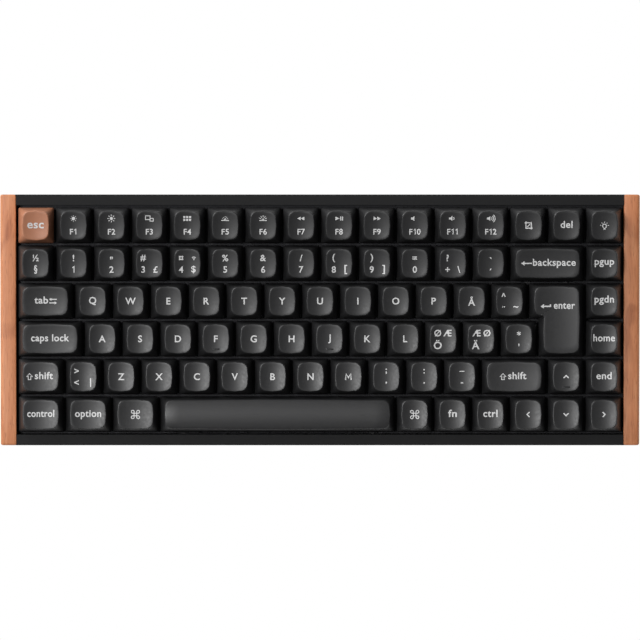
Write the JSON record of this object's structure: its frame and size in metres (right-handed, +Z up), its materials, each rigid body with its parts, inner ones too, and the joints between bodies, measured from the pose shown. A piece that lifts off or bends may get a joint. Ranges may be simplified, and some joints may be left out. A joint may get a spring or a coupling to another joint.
{
  "type": "mechanical keyboard",
  "caption": "Low wedge mechanical keyboard, compact 75 percent layout with a tall L-shaped enter key, wooden side bars, sprung keys, stabiliser wires and flip-out feet.",
  "frame": {"origin": "middle of the body's outline, on the plane of the rubber pads' undersides", "axes": "+X to the right along the rows of keys, +Y to the back edge with the ports, +Z up from the desk"},
  "size_m": [0.322, 0.1264, 0.0381],
  "materials": {
    "wood": "oiled, open grain",
    "anodised_frame": "fine blasted, black anodised",
    "case_plastic": "fine spark texture",
    "keycap_grey": "fine matte, double-shot legends",
    "keycap_brown": "fine matte, double-shot legend",
    "switch_housing": "moulded satin",
    "switch_stem": "moulded satin",
    "plate_steel": "black coated",
    "spring_steel": "bright drawn wire",
    "screw_steel": "black zinc",
    "board": "solder mask",
    "battery_foil": "foil pouch",
    "foam": "closed-cell foam",
    "rubber": "soft matte",
    "slider_plastic": "satin"
  },
  "bodies": {
    "case": {"bottom_case": "case_plastic", "top_frame": "anodised_frame", "wood_side_left": "wood", "wood_side_right": "wood", "switch_plate": "plate_steel", "plate_foam": "foam", "circuit_board": "board", "case_foam": "foam", "battery_pack": "battery_foil", "port_board": "board", "switch_bases": "switch_housing", "switch_covers": "switch_housing", "switch_springs": "spring_steel", "stabiliser_housings": "switch_housing", "case_screws": "screw_steel", "rubber_pads": "rubber"},
    "stabiliser_wire_space": {"stabiliser_wire_space": "spring_steel"},
    "stabiliser_wire_backspace": {"stabiliser_wire_backspace": "spring_steel"},
    "stabiliser_wire_enter": {"stabiliser_wire_enter": "spring_steel"},
    "foot_left": {"foot_left": "case_plastic"},
    "foot_right": {"foot_right": "case_plastic"},
    "mode_slider": {"mode_slider": "slider_plastic"},
    "system_slider": {"system_slider": "slider_plastic"},
    "key_enter": {"key_enter": "keycap_grey"},
    "key_escape": {"key_escape": "keycap_brown"},
    "key_tab": {"key_tab": "keycap_grey"},
    "key_caps_lock": {"key_caps_lock": "keycap_grey"},
    "key_left_shift": {"key_left_shift": "keycap_grey"},
    "key_right_shift": {"key_right_shift": "keycap_grey"},
    "key_control": {"key_control": "keycap_grey"},
    "key_option": {"key_option": "keycap_grey"},
    "key_command": {"key_command": "keycap_grey"},
    "key_space": {"key_space": "keycap_grey"},
    "key_backspace": {"key_backspace": "keycap_grey"},
    "key_arrow_up": {"key_arrow_up": "keycap_grey"},
    "key_arrow_left": {"key_arrow_left": "keycap_grey"},
    "key_arrow_down": {"key_arrow_down": "keycap_grey"},
    "key_arrow_right": {"key_arrow_right": "keycap_grey"},
    "keys_f1_to_f4": {"keys_f1_to_f4": "keycap_grey"},
    "keys_f5_to_f8": {"keys_f5_to_f8": "keycap_grey"},
    "keys_f9_to_f12": {"keys_f9_to_f12": "keycap_grey"},
    "keys_capture_delete_light": {"keys_capture_delete_light": "keycap_grey"},
    "keys_page_home_end": {"keys_page_home_end": "keycap_grey"},
    "keys_half_1_2": {"keys_half_1_2": "keycap_grey"},
    "keys_3_4_5": {"keys_3_4_5": "keycap_grey"},
    "keys_6_7_8": {"keys_6_7_8": "keycap_grey"},
    "keys_9_0_plus_accent": {"keys_9_0_plus_accent": "keycap_grey"},
    "keys_q_w_e": {"keys_q_w_e": "keycap_grey"},
    "keys_r_t_y": {"keys_r_t_y": "keycap_grey"},
    "keys_u_i_o": {"keys_u_i_o": "keycap_grey"},
    "keys_p_ring_umlaut": {"keys_p_ring_umlaut": "keycap_grey"},
    "keys_a_s_d": {"keys_a_s_d": "keycap_grey"},
    "keys_f_g_h": {"keys_f_g_h": "keycap_grey"},
    "keys_j_k_l": {"keys_j_k_l": "keycap_grey"},
    "keys_slash_ligature_star": {"keys_slash_ligature_star": "keycap_grey"},
    "keys_angle_z_x": {"keys_angle_z_x": "keycap_grey"},
    "keys_c_v_b": {"keys_c_v_b": "keycap_grey"},
    "keys_n_m_comma": {"keys_n_m_comma": "keycap_grey"},
    "keys_dot_dash": {"keys_dot_dash": "keycap_grey"},
    "keys_right_modifiers": {"keys_right_modifiers": "keycap_grey"}
  },
  "joints": [
    {"name": "foot_left_fold", "type": "hinge", "parent": "case", "child": "foot_left", "pos_m": [-0.128, 0.05417, 0.00285], "axis": [1, 0, 0], "range_deg": [0, 100]},
    {"name": "foot_right_fold", "type": "hinge", "parent": "case", "child": "foot_right", "pos_m": [0.128, 0.05417, 0.00285], "axis": [1, 0, 0], "range_deg": [0, 100]},
    {"name": "mode_slide", "type": "slide", "parent": "case", "child": "mode_slider", "axis": [1, 0, 0], "range_m": [-0.002, 0.002]},
    {"name": "system_slide", "type": "slide", "parent": "case", "child": "system_slider", "axis": [1, 0, 0], "range_m": [0, 0.0022]},
    {"name": "press_enter", "type": "slide", "parent": "case", "child": "key_enter", "axis": [0, 0.061, -0.9981], "range_m": [0, 0.004], "stiffness_N_per_m": 75, "springref_m": -0.004, "deforming": ["switch_springs"]},
    {"name": "press_escape", "type": "slide", "parent": "case", "child": "key_escape", "axis": [0, 0.061, -0.9981], "range_m": [0, 0.004], "stiffness_N_per_m": 75, "springref_m": -0.004, "deforming": ["switch_springs"]},
    {"name": "press_tab", "type": "slide", "parent": "case", "child": "key_tab", "axis": [0, 0.061, -0.9981], "range_m": [0, 0.004], "stiffness_N_per_m": 75, "springref_m": -0.004, "deforming": ["switch_springs"]},
    {"name": "press_caps_lock", "type": "slide", "parent": "case", "child": "key_caps_lock", "axis": [0, 0.061, -0.9981], "range_m": [0, 0.004], "stiffness_N_per_m": 75, "springref_m": -0.004, "deforming": ["switch_springs"]},
    {"name": "press_left_shift", "type": "slide", "parent": "case", "child": "key_left_shift", "axis": [0, 0.061, -0.9981], "range_m": [0, 0.004], "stiffness_N_per_m": 75, "springref_m": -0.004, "deforming": ["switch_springs"]},
    {"name": "press_right_shift", "type": "slide", "parent": "case", "child": "key_right_shift", "axis": [0, 0.061, -0.9981], "range_m": [0, 0.004], "stiffness_N_per_m": 75, "springref_m": -0.004, "deforming": ["switch_springs"]},
    {"name": "press_control", "type": "slide", "parent": "case", "child": "key_control", "axis": [0, 0.061, -0.9981], "range_m": [0, 0.004], "stiffness_N_per_m": 75, "springref_m": -0.004, "deforming": ["switch_springs"]},
    {"name": "press_option", "type": "slide", "parent": "case", "child": "key_option", "axis": [0, 0.061, -0.9981], "range_m": [0, 0.004], "stiffness_N_per_m": 75, "springref_m": -0.004, "deforming": ["switch_springs"]},
    {"name": "press_command", "type": "slide", "parent": "case", "child": "key_command", "axis": [0, 0.061, -0.9981], "range_m": [0, 0.004], "stiffness_N_per_m": 75, "springref_m": -0.004, "deforming": ["switch_springs"]},
    {"name": "press_space", "type": "slide", "parent": "case", "child": "key_space", "axis": [0, 0.061, -0.9981], "range_m": [0, 0.004], "stiffness_N_per_m": 75, "springref_m": -0.004, "deforming": ["switch_springs"]},
    {"name": "press_backspace", "type": "slide", "parent": "case", "child": "key_backspace", "axis": [0, 0.061, -0.9981], "range_m": [0, 0.004], "stiffness_N_per_m": 75, "springref_m": -0.004, "deforming": ["switch_springs"]},
    {"name": "press_arrow_up", "type": "slide", "parent": "case", "child": "key_arrow_up", "axis": [0, 0.061, -0.9981], "range_m": [0, 0.004], "stiffness_N_per_m": 75, "springref_m": -0.004, "deforming": ["switch_springs"]},
    {"name": "press_arrow_left", "type": "slide", "parent": "case", "child": "key_arrow_left", "axis": [0, 0.061, -0.9981], "range_m": [0, 0.004], "stiffness_N_per_m": 75, "springref_m": -0.004, "deforming": ["switch_springs"]},
    {"name": "press_arrow_down", "type": "slide", "parent": "case", "child": "key_arrow_down", "axis": [0, 0.061, -0.9981], "range_m": [0, 0.004], "stiffness_N_per_m": 75, "springref_m": -0.004, "deforming": ["switch_springs"]},
    {"name": "press_arrow_right", "type": "slide", "parent": "case", "child": "key_arrow_right", "axis": [0, 0.061, -0.9981], "range_m": [0, 0.004], "stiffness_N_per_m": 75, "springref_m": -0.004, "deforming": ["switch_springs"]},
    {"name": "press_f1_to_f4", "type": "slide", "parent": "case", "child": "keys_f1_to_f4", "axis": [0, 0.061, -0.9981], "range_m": [0, 0.004], "stiffness_N_per_m": 300, "springref_m": -0.004, "deforming": ["switch_springs"]},
    {"name": "press_f5_to_f8", "type": "slide", "parent": "case", "child": "keys_f5_to_f8", "axis": [0, 0.061, -0.9981], "range_m": [0, 0.004], "stiffness_N_per_m": 300, "springref_m": -0.004, "deforming": ["switch_springs"]},
    {"name": "press_f9_to_f12", "type": "slide", "parent": "case", "child": "keys_f9_to_f12", "axis": [0, 0.061, -0.9981], "range_m": [0, 0.004], "stiffness_N_per_m": 300, "springref_m": -0.004, "deforming": ["switch_springs"]},
    {"name": "press_capture_delete_light", "type": "slide", "parent": "case", "child": "keys_capture_delete_light", "axis": [0, 0.061, -0.9981], "range_m": [0, 0.004], "stiffness_N_per_m": 225, "springref_m": -0.004, "deforming": ["switch_springs"]},
    {"name": "press_page_home_end", "type": "slide", "parent": "case", "child": "keys_page_home_end", "axis": [0, 0.061, -0.9981], "range_m": [0, 0.004], "stiffness_N_per_m": 300, "springref_m": -0.004, "deforming": ["switch_springs"]},
    {"name": "press_half_1_2", "type": "slide", "parent": "case", "child": "keys_half_1_2", "axis": [0, 0.061, -0.9981], "range_m": [0, 0.004], "stiffness_N_per_m": 225, "springref_m": -0.004, "deforming": ["switch_springs"]},
    {"name": "press_3_4_5", "type": "slide", "parent": "case", "child": "keys_3_4_5", "axis": [0, 0.061, -0.9981], "range_m": [0, 0.004], "stiffness_N_per_m": 225, "springref_m": -0.004, "deforming": ["switch_springs"]},
    {"name": "press_6_7_8", "type": "slide", "parent": "case", "child": "keys_6_7_8", "axis": [0, 0.061, -0.9981], "range_m": [0, 0.004], "stiffness_N_per_m": 225, "springref_m": -0.004, "deforming": ["switch_springs"]},
    {"name": "press_9_0_plus_accent", "type": "slide", "parent": "case", "child": "keys_9_0_plus_accent", "axis": [0, 0.061, -0.9981], "range_m": [0, 0.004], "stiffness_N_per_m": 300, "springref_m": -0.004, "deforming": ["switch_springs"]},
    {"name": "press_q_w_e", "type": "slide", "parent": "case", "child": "keys_q_w_e", "axis": [0, 0.061, -0.9981], "range_m": [0, 0.004], "stiffness_N_per_m": 225, "springref_m": -0.004, "deforming": ["switch_springs"]},
    {"name": "press_r_t_y", "type": "slide", "parent": "case", "child": "keys_r_t_y", "axis": [0, 0.061, -0.9981], "range_m": [0, 0.004], "stiffness_N_per_m": 225, "springref_m": -0.004, "deforming": ["switch_springs"]},
    {"name": "press_u_i_o", "type": "slide", "parent": "case", "child": "keys_u_i_o", "axis": [0, 0.061, -0.9981], "range_m": [0, 0.004], "stiffness_N_per_m": 225, "springref_m": -0.004, "deforming": ["switch_springs"]},
    {"name": "press_p_ring_umlaut", "type": "slide", "parent": "case", "child": "keys_p_ring_umlaut", "axis": [0, 0.061, -0.9981], "range_m": [0, 0.004], "stiffness_N_per_m": 225, "springref_m": -0.004, "deforming": ["switch_springs"]},
    {"name": "press_a_s_d", "type": "slide", "parent": "case", "child": "keys_a_s_d", "axis": [0, 0.061, -0.9981], "range_m": [0, 0.004], "stiffness_N_per_m": 225, "springref_m": -0.004, "deforming": ["switch_springs"]},
    {"name": "press_f_g_h", "type": "slide", "parent": "case", "child": "keys_f_g_h", "axis": [0, 0.061, -0.9981], "range_m": [0, 0.004], "stiffness_N_per_m": 225, "springref_m": -0.004, "deforming": ["switch_springs"]},
    {"name": "press_j_k_l", "type": "slide", "parent": "case", "child": "keys_j_k_l", "axis": [0, 0.061, -0.9981], "range_m": [0, 0.004], "stiffness_N_per_m": 225, "springref_m": -0.004, "deforming": ["switch_springs"]},
    {"name": "press_slash_ligature_star", "type": "slide", "parent": "case", "child": "keys_slash_ligature_star", "axis": [0, 0.061, -0.9981], "range_m": [0, 0.004], "stiffness_N_per_m": 225, "springref_m": -0.004, "deforming": ["switch_springs"]},
    {"name": "press_angle_z_x", "type": "slide", "parent": "case", "child": "keys_angle_z_x", "axis": [0, 0.061, -0.9981], "range_m": [0, 0.004], "stiffness_N_per_m": 225, "springref_m": -0.004, "deforming": ["switch_springs"]},
    {"name": "press_c_v_b", "type": "slide", "parent": "case", "child": "keys_c_v_b", "axis": [0, 0.061, -0.9981], "range_m": [0, 0.004], "stiffness_N_per_m": 225, "springref_m": -0.004, "deforming": ["switch_springs"]},
    {"name": "press_n_m_comma", "type": "slide", "parent": "case", "child": "keys_n_m_comma", "axis": [0, 0.061, -0.9981], "range_m": [0, 0.004], "stiffness_N_per_m": 225, "springref_m": -0.004, "deforming": ["switch_springs"]},
    {"name": "press_dot_dash", "type": "slide", "parent": "case", "child": "keys_dot_dash", "axis": [0, 0.061, -0.9981], "range_m": [0, 0.004], "stiffness_N_per_m": 150, "springref_m": -0.004, "deforming": ["switch_springs"]},
    {"name": "press_right_modifiers", "type": "slide", "parent": "case", "child": "keys_right_modifiers", "axis": [0, 0.061, -0.9981], "range_m": [0, 0.004], "stiffness_N_per_m": 225, "springref_m": -0.004, "deforming": ["switch_springs"]},
    {"name": "wire_space_turn", "type": "hinge", "parent": "case", "child": "stabiliser_wire_space", "pos_m": [-0.02143, -0.05602, 0.01542], "axis": [-1, 0, 0], "range_deg": [0, 24.41]},
    {"name": "wire_backspace_turn", "type": "hinge", "parent": "case", "child": "stabiliser_wire_backspace", "pos_m": [0.1143, 0.02004, 0.02008], "axis": [-1, 0, 0], "range_deg": [0, 24.41]},
    {"name": "wire_enter_turn", "type": "hinge", "parent": "case", "child": "stabiliser_wire_enter", "pos_m": [0.11254, 0.0004, 0.01888], "axis": [0, 0.9981, 0.061], "range_deg": [0, 24.41]}
  ],
  "couplings": [
    {"joint": "wire_space_turn", "follows": "press_space", "rad_per_m": 106.06},
    {"joint": "wire_backspace_turn", "follows": "press_backspace", "rad_per_m": 106.06},
    {"joint": "wire_enter_turn", "follows": "press_enter", "rad_per_m": 106.06}
  ]
}
